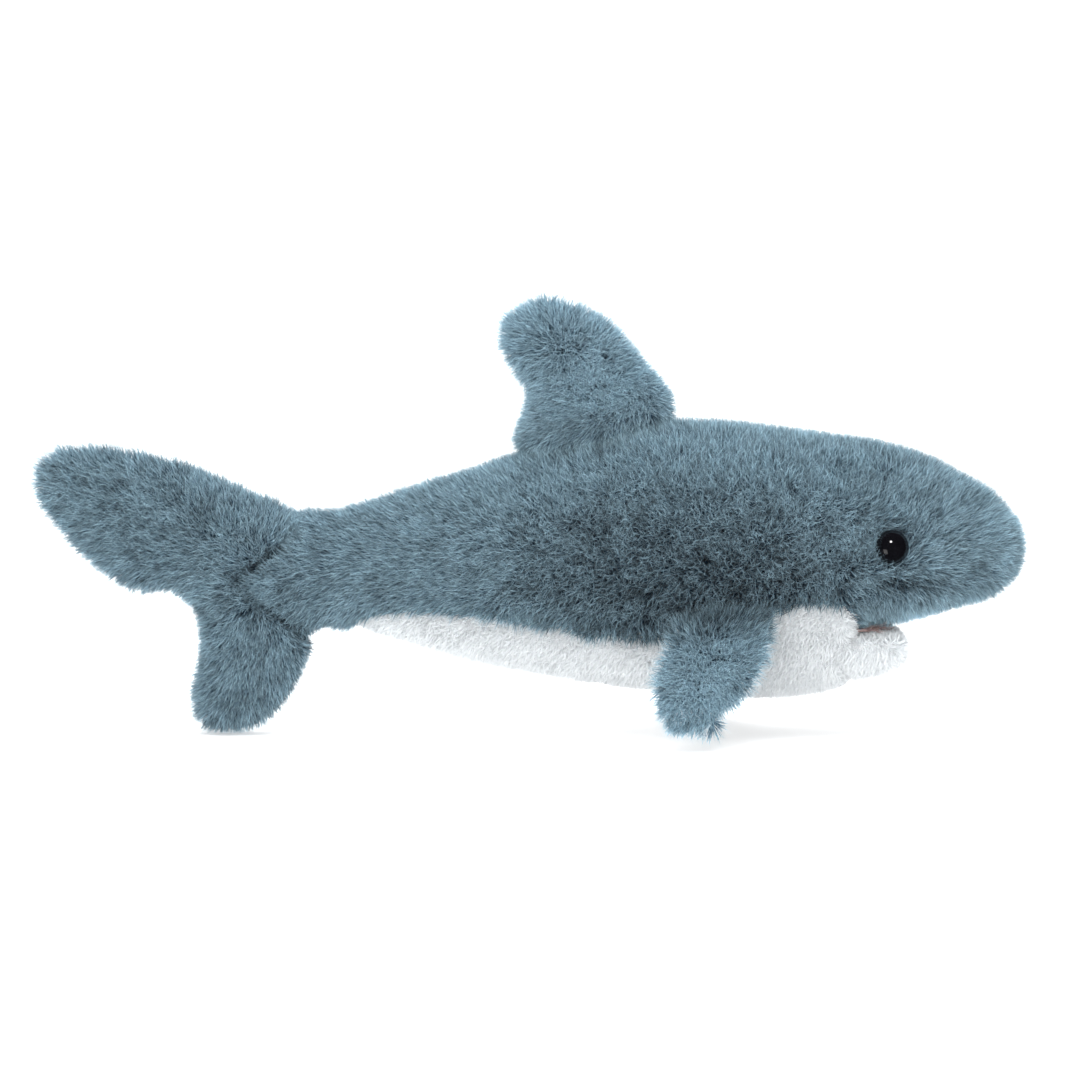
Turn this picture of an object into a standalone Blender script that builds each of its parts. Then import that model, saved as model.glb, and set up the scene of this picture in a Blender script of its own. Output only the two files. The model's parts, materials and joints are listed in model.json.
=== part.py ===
"""A stuffed plush shark, nose towards +X and belly down, standing on the tips of its two pectoral fins
and on the lower lobe of its tail.

Each cloth panel is a shell as thick as the plush with its pile, and the stuffing is what the shells
enclose. Body, tail stem, tail fin, dorsal fin, pectoral fins and lower jaw are separate soft bodies
that turn against each other about the axes given below. Lengths are in metres, tables in millimetres.
"""

import math

import bmesh
import bpy
from mathutils import Vector

MM = 0.001

# Driving dimensions, millimetres
CLOTH = 4.0  # plush: backing and pile together
SEAM_GAP = 0.5  # room between two panels
STUFFING_GAP = 1.3  # room between cloth and stuffing
JOINT_GAP = 0.8  # room between two bodies that turn against each other
NOSE_X = 175.0
NOSE_Z = 65.5
NOSE_ROUND = 25.0  # length over which the nose closes
THROAT_X = 112.6  # where the lower jaw leaves the body
STEM_AXIS_X = 10.0  # upright line that the tail stem bends about
STEM_RADIUS = 34.0
TAIL_AXIS_X = -68.0  # upright line at the wrist that the tail fin swings about
APEX_Z = 53.3  # height of the point of the V seam at the tail
EYE_RADIUS = 6.0
EYE_SEAT = -3.0  # the flat back of the dome, below the tips of the pile
EYE_DOME = 4.4  # rise of the dome above its seat
SHANK_RADIUS = 1.8
SHANK_END = -12.0
WASHER_RADIUS = 6.6
WASHER_TOP = -5.0
WASHER_BACK = -7.4
EYE_PLAY = 0.35  # room round the dome and the washer
EYE_X = 126.6
EYE_Z = 69.5
LINING = 0.9  # thickness of the mouth lining
FIN_SPLAY = math.radians(25)  # pectoral fins hang outwards from the vertical by this
PECTORAL_PITCH = math.radians(9.6)  # rise of their root line towards the nose
PECTORAL_AXIS = Vector((66.0, -44.9, 39.2))
DORSAL_ROOT = 8.0  # radius of the rounded root of the dorsal fin
PECTORAL_ROOT = 6.4
JAW_AXIS = Vector((THROAT_X, 0, 37.0))
JAW_BACK_SLOPE = math.radians(15)  # slant of the back of the jaw, which lets it open

# Side view of the body: distance along the body, then height or half width
BACK = [(-104, 88), (-80, 79.6), (-66, 82.4), (-44, 89), (-21, 95.6), (3, 103), (30, 109.6),
        (56, 112.5), (81, 110), (100, 107.5), (124, 104.4), (142, 99), (155, 93), (175, 84)]
BELLY = [(-104, 30), (-80, 35), (-66, 36), (-44, 31.8), (-21, 26.2), (3, 21.9), (30, 17.8),
         (56, 15.2), (81, 13.6), (100, 15), (113, 18.2)]
SNOUT = [(113, 40.6), (122, 39.6), (130, 40.2), (142, 43.5), (155, 47.2), (165, 48.4), (175, 52)]
MIDDLE = [(-104, 54), (-80, 56.5), (-44, 60), (0, 61), (60, 62), (90, 61.5), (105, 58.5),
          (113, 57), (142, 57), (158, 59.5), (175, 65.5)]
HALF_WIDTH = [(-104, 12.5), (-80, 14), (-66, 16), (-44, 20.5), (-21, 26), (3, 31.5), (30, 37),
              (56, 40.5), (81, 41.5), (100, 40.5), (113, 39), (124, 37), (134, 34.5),
              (144, 31), (156, 26), (175, 21)]
# Height of the seam between the blue sides and the white belly
SIDE_SEAM = [(-66, 36), (-56, 40.5), (-42, 43.9), (-18, 42), (3, 40.5), (28, 36.6), (44, 35.6),
             (60, 39), (88, 46), (98, 49), (105, 50.3), (110, 47), (113, 44.5)]
# Distance from the tail axis to the V seam at each height
WRIST = [(-20, 5.5), (35, 7), (38.4, 12.3), (46, 23), (APEX_Z, 33.8), (59, 27.5), (64.3, 21.8),
         (71.6, 14), (78, 11), (125, 9)]
BELLY_END_X = -65.0
STEM_STATIONS = [-61, -56, -51, -45, -36, -20]

# Fins: rear or outer edge point, front or inner edge point, half thickness; points are (x, z)
TAIL_FIN = [((-171.5, 99.3), (-174.8, 88.5), 3.4), ((-163, 102), (-170.6, 76.6), 6.2),
            ((-145, 101.4), (-156, 61), 8.4), ((-125, 97.6), (-140, 50), 10),
            ((-105, 90.4), (-128, 50.5), 11.5), ((-85.5, 80.2), (-120, 46), 13.2),
            ((-69, 57), (-118.6, 41.5), 13.8), ((-75, 34), (-119, 33), 12.4),
            ((-80.3, 20.5), (-121.3, 20), 10.4), ((-88.5, 8), (-120.5, 9), 8.2),
            ((-96.5, -0.5), (-114, -0.5), 5)]
DORSAL_FIN = [((-1.2, 113.5), (51, 121), 10), ((-1.4, 120), (45.8, 127.4), 9.8),
              ((-5.6, 126.6), (39, 135.8), 9.2), ((-10.4, 133), (31, 144.4), 8.4),
              ((-12.6, 140.4), (20.6, 151.1), 7.2), ((-10.6, 147), (9.4, 154.8), 5.2),
              ((-6, 151.6), (1.5, 154.9), 3)]
# Pectoral fin in its own plane: along the root line, then down from it
PECTORAL_FIN = [((-21, 0), (21, 0), 6.4), ((-22, 8.5), (20.5, 9.5), 6.5),
                ((-22, 18), (17, 20.5), 6.4), ((-20.2, 27.5), (10, 31), 5.8),
                ((-16.8, 35), (4, 38.5), 4.8), ((-12.9, 42.4), (-1.5, 45.4), 3)]
# Lower jaw: distance along the body, lowest height, half width
JAW = [(113, 18.2, 33), (122, 20.6, 30.5), (128.5, 23, 26), (133, 26, 19), (135.6, 29.5, 10)]
JAW_TOP = 36.4
JAW_CLOTH = 3.2  # thickness of the plush on the jaw, which is shorter than on the body
CHIN_X = 136.6  # foremost point of the jaw
CHIN_DROP = 3.2  # from the top of the jaw down to that point
JAW_HOLLOW = (130.2, 131.8, 132.5)  # where the last rings of the hollow inside the jaw's cloth lie
MOUTH_ROOF = 39.0
FLAT_BELOW = 1.0  # a ring this low stands flat on the ground

BLUE = (0.125, 0.205, 0.255)
WHITE = (0.80, 0.81, 0.82)
PINK = (0.62, 0.36, 0.34)
BLACK = (0.006, 0.006, 0.007)
FIBRE = (0.86, 0.86, 0.84)
NYLON = (0.55, 0.55, 0.53)


def smooth_value(table, at):
    """The height of a smooth curve through the table's points."""
    if at <= table[0][0]:
        return table[0][1]
    if at >= table[-1][0]:
        return table[-1][1]
    i = max(k for k in range(len(table) - 1) if table[k][0] <= at)

    def slope(k):
        before = max(k - 1, 0)
        after = min(k + 1, len(table) - 1)
        return (table[after][1] - table[before][1]) / (table[after][0] - table[before][0])

    (x0, y0), (x1, y1) = table[i], table[i + 1]
    step = x1 - x0
    t = (at - x0) / step
    return (
        y0 * (1 + 2 * t) * (1 - t) ** 2
        + slope(i) * step * t * (1 - t) ** 2
        + y1 * t * t * (3 - 2 * t)
        - slope(i + 1) * step * t * t * (1 - t)
    )


def body_point(x, angle, floor=BELLY, depth=0.0):
    """A point of the body's skin: angle 90 is the back, 0 the right side, -90 the underside.

    floor is the curve of the underside, and depth goes in along the skin's normal.
    """

    def skin(x, angle):
        closing = max(0.0, (x - NOSE_X + NOSE_ROUND) / NOSE_ROUND)
        narrow = math.sqrt(max(0.0, 1 - closing * closing))
        middle = NOSE_Z + (smooth_value(MIDDLE, x) - NOSE_Z) * narrow
        rise = math.sin(angle)
        edge = smooth_value(BACK if rise > 0 else floor, x)
        edge = NOSE_Z + (edge - NOSE_Z) * narrow
        width = smooth_value(HALF_WIDTH, x) * narrow
        return Vector((x, -width * math.cos(angle), middle + abs(edge - middle) * rise))

    here = skin(x, angle)
    if not depth:
        return here
    nudge = 0.05
    ahead = min(x + nudge, NOSE_X - 0.001)
    along = skin(ahead, angle) - skin(x - nudge, angle)
    around = skin(x, angle + 0.01) - skin(x, angle - 0.01)
    normal = along.cross(around).normalized()
    return here - normal * depth


def seam_angle(x):
    """Angle of the side panel's lower edge at this distance along the body."""
    if x > THROAT_X:
        return 0.0
    if x <= BELLY_END_X:
        return -math.pi / 2
    middle = smooth_value(MIDDLE, x)
    share = (middle - smooth_value(SIDE_SEAM, x)) / (middle - smooth_value(BELLY, x))
    return -math.asin(min(1.0, max(0.0, share)))


def stem_joint_x(point, gap=0.0):
    """Where the body's rounded end lies, beside the bend of the tail stem."""
    return STEM_AXIS_X - math.sqrt(max((STEM_RADIUS + gap) ** 2 - point.y**2, 1.0))


def wrist_joint_x(point, gap=0.0):
    """Where the tail stem's pointed end lies, along the V seam."""
    reach = smooth_value(WRIST, point.z) + gap
    return TAIL_AXIS_X - math.sqrt(max(reach**2 - point.y**2, 1.0))


def body_x_on(joint, gap, angle, depth, low, high):
    """The distance along the body at which its skin meets a joint's surface."""
    for _ in range(30):
        x = (low + high) / 2
        point = body_point(x, angle, depth=depth)
        if point.x < joint(point, gap):
            low = x
        else:
            high = x
    return (low + high) / 2


def material(name, colour, roughness):
    made = bpy.data.materials.new(name)
    made.use_nodes = True
    shader = made.node_tree.nodes["Principled BSDF"]
    shader.inputs["Base Color"].default_value = (*colour, 1)
    shader.inputs["Roughness"].default_value = roughness
    shader.inputs["Metallic"].default_value = 0.0
    return made


def add_object(name, mesh, look, parent=None, origin=None):
    """An object with its origin on its joint's axis, from a bmesh in millimetres."""
    bmesh.ops.remove_doubles(mesh, verts=mesh.verts, dist=0.001)
    bmesh.ops.recalc_face_normals(mesh, faces=mesh.faces)
    if mesh.calc_volume(signed=True) < 0:
        bmesh.ops.reverse_faces(mesh, faces=mesh.faces)
    if origin is not None:
        bmesh.ops.translate(mesh, verts=mesh.verts, vec=-origin)
    bmesh.ops.scale(mesh, verts=mesh.verts, vec=(MM, MM, MM))
    data = bpy.data.meshes.new(name)
    mesh.to_mesh(data)
    mesh.free()
    data.shade_smooth()
    data.set_sharp_from_angle(angle=math.radians(40))
    data.materials.append(look)
    made = bpy.data.objects.new(name, data)
    bpy.context.collection.objects.link(made)
    if parent is not None:
        made.parent = parent
    return made


def add_axis(name, at):
    """An empty on a joint's axis, the parent of what turns about it."""
    made = bpy.data.objects.new(name, None)
    made.empty_display_size = 0.02
    made.location = at * MM
    bpy.context.collection.objects.link(made)
    return made


def bridge(mesh, rows):
    """Faces between neighbouring rows of vertices."""
    for row, following in zip(rows, rows[1:]):
        for i in range(len(row) - 1):
            corners = (row[i], row[i + 1], following[i + 1], following[i])
            mesh.faces.new(corners)


def shell(outer, inner):
    """A closed cloth shell between two grids of points."""
    mesh = bmesh.new()
    out = [[mesh.verts.new(p) for p in row] for row in outer]
    back = [[mesh.verts.new(p) for p in row] for row in inner]
    bridge(mesh, out)
    bridge(mesh, [row[::-1] for row in back])
    bridge(mesh, [out[0], back[0]])
    bridge(mesh, [back[-1], out[-1]])
    bridge(mesh, [[row[0] for row in back], [row[0] for row in out]])
    bridge(mesh, [[row[-1] for row in out], [row[-1] for row in back]])
    return mesh


def filled(rings, first_cap=(), last_cap=()):
    """A closed solid through rings of points. Each cap is a list of smaller rings and a last point."""
    mesh = bmesh.new()
    every = [*list(first_cap)[::-1], *rings, *last_cap]
    rows = []
    for ring in every:
        if isinstance(ring, Vector):
            rows.append([mesh.verts.new(ring)])
        else:
            rows.append([mesh.verts.new(p) for p in ring])
    for row, following in zip(rows, rows[1:]):
        size = max(len(row), len(following))
        for i in range(size):
            j = (i + 1) % size
            if len(row) == 1:
                mesh.faces.new((row[0], following[j], following[i]))
            elif len(following) == 1:
                mesh.faces.new((row[i], row[j], following[0]))
            else:
                mesh.faces.new((row[i], row[j], following[j], following[i]))
    for end in (rows[0], rows[-1]):
        if len(end) > 1:
            mesh.faces.new(end)
    return mesh


def turned(profile, sides=20):
    """A closed solid turned about Z from (radius, height) points."""
    mesh = bmesh.new()
    path = [mesh.verts.new((radius, 0, height)) for radius, height in profile]
    edges = [mesh.edges.new(pair) for pair in zip(path, path[1:])]
    if profile[0][0] > 0:
        edges.append(mesh.edges.new((path[-1], path[0])))
    bmesh.ops.spin(
        mesh, geom=path + edges, cent=(0, 0, 0), axis=(0, 0, 1), angle=2 * math.pi, steps=sides
    )
    bmesh.ops.remove_doubles(mesh, verts=mesh.verts, dist=0.001)
    bmesh.ops.recalc_face_normals(mesh, faces=mesh.faces)
    return mesh


def add_cutter(name, mesh):
    made = add_object(name, mesh, LOOKS["cutter"])
    made.hide_render = True
    made.display_type = "WIRE"
    return made


def cut(piece, cutter):
    boolean = piece.modifiers.new("cut_" + cutter.name, "BOOLEAN")
    boolean.operation = "DIFFERENCE"
    boolean.solver = "EXACT"
    boolean.object = cutter


def spread(low, high, count):
    return [low + (high - low) * i / (count - 1) for i in range(count)]


def nose_stations(count):
    """Distances along the closing nose, closer together towards its tip."""
    start = NOSE_X - NOSE_ROUND
    return [start + NOSE_ROUND * math.sin(math.radians(a)) for a in spread(12, 88.5, count)]


def gap_angle(x, floor, gap=SEAM_GAP / 2):
    """The turn round the section that makes half a seam gap."""
    top = body_point(x, math.pi / 2)
    side = body_point(x, 0)
    bottom = body_point(x, -math.pi / 2, floor)
    return gap / max(0.35, min(-side.y, (top.z - bottom.z) / 2))


def panel_grid(stations, low, high, depth, columns, floor=BELLY, rear=None, front=None):
    """A grid of points on the body's skin, between two edges given as angles at each station.

    rear and front are (joint, gap) pairs where the panel ends on a joint's surface.
    """
    rows = []
    for k, x in enumerate(stations):
        half_gap = gap_angle(x, floor)
        start, end = low(x) + half_gap, high(x) - half_gap
        row = []
        for angle in spread(start, end, columns):
            at = x
            if rear and k == 0:
                at = body_x_on(*rear, angle, depth, -120, 40)
            if front and k == len(stations) - 1:
                at = body_x_on(*front, angle, depth, -120, 40)
            row.append(body_point(at, angle, floor, depth))
        rows.append(row)
    return rows


def body_panel(name, look, stations, low, high, columns, parent=None, origin=None, **ends):
    outer = panel_grid(stations, low, high, 0.0, columns, **ends)
    inner = panel_grid(stations, low, high, CLOTH, columns, **ends)
    return add_object(name, shell(outer, inner), look, parent, origin)


def mirrored_limits(low, high):
    """The same edges on the left side of the body."""
    return (lambda x: math.pi - high(x)), (lambda x: math.pi - low(x))


def ring_at(x, depth, sides, floor=BELLY, joint=None, gap=0.0):
    """One closed ring of the body's section, on a joint's surface where one is given."""
    points = []
    for i in range(sides):
        angle = 2 * math.pi * i / sides - math.pi / 2
        at = x
        if joint:
            at = body_x_on(joint, gap, angle, depth, -120, 40)
        points.append(body_point(at, angle, floor, depth))
    return points


def joint_cap(ring, joint, gap):
    """Smaller and smaller rings on a joint's surface, down to its middle."""
    centre = sum(ring, Vector()) / len(ring)
    rings = []
    for share in (0.72, 0.42, 0.16):
        smaller = [centre + (p - centre) * share for p in ring]
        rings.append([Vector((joint(p, gap), p.y, p.z)) for p in smaller])
    rings.append(Vector((joint(centre, gap), centre.y, centre.z)))
    return rings


# Body -------------------------------------------------------------------------------------------


def build_body():
    """Blue sides, white belly and blue muzzle round one filling."""
    blue, white = LOOKS["blue_plush"], LOOKS["white_plush"]

    def top(x):
        return math.pi / 2

    trunk = [-10, -2, 10, 26, 44, 62, 80, 95, 105, THROAT_X - 1.5, THROAT_X + 1.5]
    face = [121, 129, 137, 145, *nose_stations(7)]
    ends = {"rear": (stem_joint_x, 0.0)}
    limits = seam_angle, top
    body_panel("right_side_panel", blue, trunk + face, *limits, 9, **ends)
    body_panel("left_side_panel", blue, trunk + face, *mirrored_limits(*limits), 9, **ends)

    def right_edge(x):
        return -math.pi - seam_angle(x)

    belly = [*trunk[:9], THROAT_X - 2, THROAT_X - 0.4]
    body_panel("belly_panel", white, belly, right_edge, seam_angle, 13, **ends)

    def crease(x):
        return 0.0

    def other_crease(x):
        return -math.pi

    muzzle = [THROAT_X + 1.9, *face]
    body_panel("muzzle_panel", blue, muzzle, other_crease, crease, 13, floor=SNOUT)
    depth = CLOTH + STUFFING_GAP
    sides = 20
    tail_ring = ring_at(0, depth, sides, joint=stem_joint_x)
    rings = [tail_ring]
    rings += [ring_at(x, depth, sides) for x in (2, 18, 35, 53, 71, 88, 100, THROAT_X - 0.4)]
    rings += [ring_at(x, depth, sides, SNOUT) for x in (THROAT_X + 0.4, 121, 129, 137, 145)]
    rings += [ring_at(x, depth, sides, SNOUT) for x in nose_stations(5)[1:4]]
    tip = Vector((NOSE_X - depth, 0, NOSE_Z))
    filling = filled(rings, joint_cap(tail_ring, stem_joint_x, 0.0), [tip])
    return add_object("body_stuffing", filling, LOOKS["fibre"])


def eye_frame(side):
    """Place and direction of an eye: Z out of the head. side is -1 on the right and 1 on the left."""
    middle = smooth_value(MIDDLE, EYE_X)
    angle = math.asin((EYE_Z - middle) / (smooth_value(BACK, EYE_X) - middle))
    outer = body_point(EYE_X, angle)
    outward = (outer - body_point(EYE_X, angle, depth=1.0)).normalized()
    outer.y *= -side
    outward.y *= -side
    frame = outward.to_track_quat("Z", "Y").to_matrix().to_4x4()
    frame.translation = outer
    return frame


def build_eyes(stuffing):
    """Domed eyes on shanks, each held behind the cloth by a washer."""
    dome = [(EYE_RADIUS * math.cos(a), EYE_SEAT + EYE_DOME * math.sin(a))
            for a in spread(0, math.pi / 2, 7)]
    dome[-1] = (0, dome[-1][1])
    back = EYE_SEAT - 0.5
    shank_side = SHANK_RADIUS + 0.25
    socket_side = EYE_RADIUS + EYE_PLAY
    pocket_side = WASHER_RADIUS + 0.6
    for side, word in ((-1, "right"), (1, "left")):
        frame = eye_frame(side)

        def placed(profile, count):
            """The turned profile, set on the head with its axis along the eye's."""
            form = turned(profile, count)
            bmesh.ops.transform(form, matrix=frame, verts=form.verts)
            return form

        eye = placed([*dome[::-1], (EYE_RADIUS, back), (SHANK_RADIUS, back),
                      (SHANK_RADIUS, SHANK_END + 0.6), (SHANK_RADIUS - 0.6, SHANK_END),
                      (0, SHANK_END)], 24)
        add_object(word + "_eye", eye, LOOKS["black_plastic"])
        washer = placed([(shank_side, WASHER_TOP - 0.6), (WASHER_RADIUS, WASHER_TOP),
                         (WASHER_RADIUS, WASHER_TOP - 0.9), (3.4, WASHER_BACK),
                         (shank_side, WASHER_BACK)], 20)
        add_object(word + "_eye_washer", washer, LOOKS["nylon"])
        cloth_hole = placed([(0, 4), (socket_side, 4), (socket_side, EYE_SEAT - 0.8),
                             (SHANK_RADIUS + 0.3, EYE_SEAT - 0.8), (SHANK_RADIUS + 0.3, -4.7),
                             (0, -4.7)], 24)
        cut(bpy.data.objects[word + "_side_panel"], add_cutter(word + "_eye_hole", cloth_hole))
        pocket = placed([(0, 0), (pocket_side, 0), (pocket_side, WASHER_BACK - 0.5),
                         (SHANK_RADIUS + 0.4, WASHER_BACK - 0.5),
                         (SHANK_RADIUS + 0.4, SHANK_END - 0.6), (0, SHANK_END - 0.6)], 24)
        cut(stuffing, add_cutter(word + "_eye_pocket", pocket))


# Mouth ------------------------------------------------------------------------------------------


def jaw_half_section(x, low, half_width, inset, sides=10):
    """The rounded underside of the jaw from its right edge to its left, slanted at the back."""
    points = []
    top = JAW_TOP - LINING - SEAM_GAP
    reach = top - low - inset
    for angle in spread(0, math.pi, sides):
        z = top - reach * math.sin(angle)
        y = -(half_width - inset) * math.cos(angle)
        back = THROAT_X + 0.9 + (JAW_TOP - z) * math.tan(JAW_BACK_SLOPE)
        points.append(Vector((max(x, back), y, z)))
    return points


def build_jaw(axis):
    """White cloth under a pink lining, with a little filling between."""
    parent = {"parent": axis, "origin": JAW_AXIS}
    outer = [jaw_half_section(*station, 0.0) for station in JAW]
    # The last ring of each surface closes towards the chin: narrowed, and flattened to its height.
    outer.append([Vector((CHIN_X, p.y * 0.35, JAW_TOP - CHIN_DROP + (p.z - JAW_TOP) * 0.12))
                  for p in outer[-1]])
    inner = [jaw_half_section(x, low, half, JAW_CLOTH) for x, low, half in JAW]
    inner.append([Vector((0, p.y * 0.5, JAW_TOP - 3 + (p.z - JAW_TOP) * 0.2)) for p in inner[-1]])
    for ring, x in zip(inner[-3:], JAW_HOLLOW):
        for point in ring:
            point.x = x
    add_object("lower_jaw_panel", shell(outer, inner), LOOKS["white_plush"], **parent)

    ring_stations = [(x, low, half) for x, low, half in JAW[:3]]
    rings = [jaw_half_section(x, low, half, JAW_CLOTH + STUFFING_GAP) for x, low, half in ring_stations]
    add_object("lower_jaw_stuffing", filled(rings), LOOKS["fibre"], **parent)
    return parent


def lining_outline(start, end, half_width, count=9):
    """A tongue-shaped outline: straight back, round front."""
    points = [(start, -half_width)]
    for angle in spread(-math.pi / 2, math.pi / 2, count):
        points.append((end - half_width * 0.55 + half_width * 0.55 * math.cos(angle),
                       half_width * math.sin(angle)))
    points.append((start, half_width))
    return points


def flat_plate(outline, low, high):
    mesh = bmesh.new()
    face = mesh.faces.new([mesh.verts.new((x, y, low)) for x, y in outline])
    risen = bmesh.ops.extrude_face_region(mesh, geom=[face])["geom"]
    lifted = [v for v in risen if isinstance(v, bmesh.types.BMVert)]
    bmesh.ops.translate(mesh, verts=lifted, vec=(0, 0, high - low))
    return mesh


def build_mouth(jaw_parent):
    """Two pink linings, one on the lower jaw and one under the snout."""
    pink = LOOKS["pink_felt"]
    lower = lining_outline(THROAT_X + 1.4, 133.6, 21.5)
    add_object("lower_mouth_lining", flat_plate(lower, JAW_TOP - LINING, JAW_TOP), pink, **jaw_parent)
    upper = lining_outline(THROAT_X + 1.0, 133.2, 21.5)
    add_object("upper_mouth_lining", flat_plate(upper, MOUTH_ROOF - LINING, MOUTH_ROOF), pink)


# Fins -------------------------------------------------------------------------------------------


def fin_ring(rear, front, half_thickness, sides, depth=0.0, place=None):
    """One closed ring of a fin's section, starting on its front edge.

    place turns (along, down) in the fin's plane and a thickness into a point.
    """
    rear, front = Vector(rear), Vector(front)
    centre = (rear + front) / 2
    half = (front - rear) / 2
    shrink = max(0.12, 1 - depth / half.length)
    thick = max(0.35, half_thickness - depth)
    points = []
    for i in range(sides):
        angle = 2 * math.pi * i / sides
        flat = centre + half * shrink * math.cos(angle)
        points.append(place(flat, thick * math.sin(angle)))
    return points


def fin_rings(table, sides, depth, place, trim_start=0.0, trim_end=0.0):
    """Rings of a whole fin, drawn in at both ends by the trims."""
    rings = []
    spans = []
    for rear, front, thick in table:
        spans.append((Vector(rear), Vector(front), thick))
    first, second = spans[0], spans[1]
    last, before = spans[-1], spans[-2]
    shift = (sum(second[:2], Vector((0, 0))) - sum(first[:2], Vector((0, 0)))).normalized() * trim_start
    spans[0] = (first[0] + shift, first[1] + shift, first[2])
    shift = (sum(before[:2], Vector((0, 0))) - sum(last[:2], Vector((0, 0)))).normalized() * trim_end
    spans[-1] = (last[0] + shift, last[1] + shift, last[2])
    for rear, front, thick in spans:
        rings.append(fin_ring(rear, front, thick, sides, depth, place))
    return rings


def blunt_end(ring, following, reach=1.0, size=0.15):
    """A much smaller ring just beyond a fin's last one, which all but closes its cloth."""
    centre = sum(ring, Vector()) / len(ring)
    inner = sum(following, Vector()) / len(following)
    shift = (centre - inner).normalized() * reach
    closed = [centre + (p - centre) * size + shift for p in ring]
    for p in closed:
        p.z = max(p.z, 0.0)
    return closed


def half_rows(rings, upper, gap):
    """The rows of one cloth panel: half of each ring, kept clear of the other half."""
    sides = len(rings[0])
    half = sides // 2
    picks = range(half + 1) if upper else range(half, sides + 1)
    rows = []
    for ring in rings:
        row = [ring[i % sides].copy() for i in picks]
        rows.append(row)
    centre_lines = [(ring[0] - ring[half]).normalized() for ring in rings]
    for row, ring, line in zip(rows, rings, centre_lines):
        middle = row[len(row) // 2] - (ring[0] + ring[half]) / 2
        away = middle - line * middle.dot(line)
        if min(p.z for p in ring) < FLAT_BELOW:
            away.z = 0
        away = away.normalized() * gap / 2
        row[0] += away
        row[-1] += away
    return rows


def fin_panels(names, looks, outer, inner, parent):
    """The two cloth panels of a fin from its outer and inner rings."""
    for name, look, upper in zip(names, looks, (True, False)):
        mesh = shell(half_rows(outer, upper, SEAM_GAP), half_rows(inner, upper, SEAM_GAP))
        yield add_object(name, mesh, look, **parent)


def root_rings(first, radius, downwards, across_fin):
    """Rings that round off a fin's root about its axis."""
    centre = sum(first, Vector()) / len(first)
    rings = []
    for turn in (62, 35, 12):
        share = math.sin(math.radians(turn))
        drop = radius * math.cos(math.radians(turn))
        moved = []
        for p in first:
            offset = p - centre
            across = offset.dot(across_fin)
            along = offset - across_fin * across
            slimmer = along * (1 - (1 - share) * radius / max(along.length, radius))
            moved.append(centre + slimmer + across_fin * across * share + downwards * drop)
        rings.append(moved)
    return rings


def closed_fin(table, names, looks, place, thickness, down, radius, parent, ends=2.5):
    """A stuffed fin: two panels and a filling, with a rounded root."""
    sides = 16
    made = []
    outer = fin_rings(table, sides, 0.0, place)
    inner = fin_rings(table, sides, CLOTH * 0.8, place, trim_end=ends)
    core = fin_rings(table, sides, CLOTH * 0.8 + STUFFING_GAP, place, trim_end=ends + 1)
    outer.append(blunt_end(outer[-1], outer[-2]))
    inner.append(blunt_end(inner[-1], inner[-2], 0.2))
    root = root_rings(outer[0], radius, down, thickness)
    root_in = root_rings(inner[0], radius - CLOTH * 0.8, down, thickness)
    root_core = root_rings(core[0], radius - CLOTH * 0.8 - STUFFING_GAP, down, thickness)
    made += fin_panels(names[:2], looks, root[::-1] + outer, root_in[::-1] + inner, parent)
    made.append(add_object(names[2], filled(root_core[::-1] + core), LOOKS["fibre"], **parent))
    return made


def build_dorsal(axis, origin):
    def place(flat, across):
        return Vector((flat.x, across, flat.y))

    rear, front = DORSAL_FIN[0][0], DORSAL_FIN[0][1]
    along = Vector((front[0] - rear[0], 0, front[1] - rear[1])).normalized()
    down = Vector((along.z, 0, -along.x))
    names = ("dorsal_left_panel", "dorsal_right_panel", "dorsal_stuffing")
    looks = (LOOKS["blue_plush"],) * 2
    parent = {"parent": axis, "origin": origin}
    closed_fin(DORSAL_FIN, names, looks, place, Vector((0, 1, 0)), down, DORSAL_ROOT, parent)


def build_pectoral(side, word, axis, origin):
    """side is -1 on the right and 1 on the left."""
    along = Vector((math.cos(PECTORAL_PITCH), 0, math.sin(PECTORAL_PITCH)))
    hang = Vector((0, side * math.sin(FIN_SPLAY), -math.cos(FIN_SPLAY)))
    out = Vector((0, side * math.cos(FIN_SPLAY), math.sin(FIN_SPLAY)))

    def place(flat, across):
        point = origin + along * flat.x + hang * flat.y + out * across
        point.z = max(point.z, 0.0)
        return point

    names = (word + "_pectoral_top", word + "_pectoral_underside", word + "_pectoral_stuffing")
    looks = (LOOKS["blue_plush"], LOOKS["white_plush"])
    parent = {"parent": axis, "origin": origin}
    closed_fin(PECTORAL_FIN, names, looks, place, out, -hang, PECTORAL_ROOT, parent, 4.5)


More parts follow.
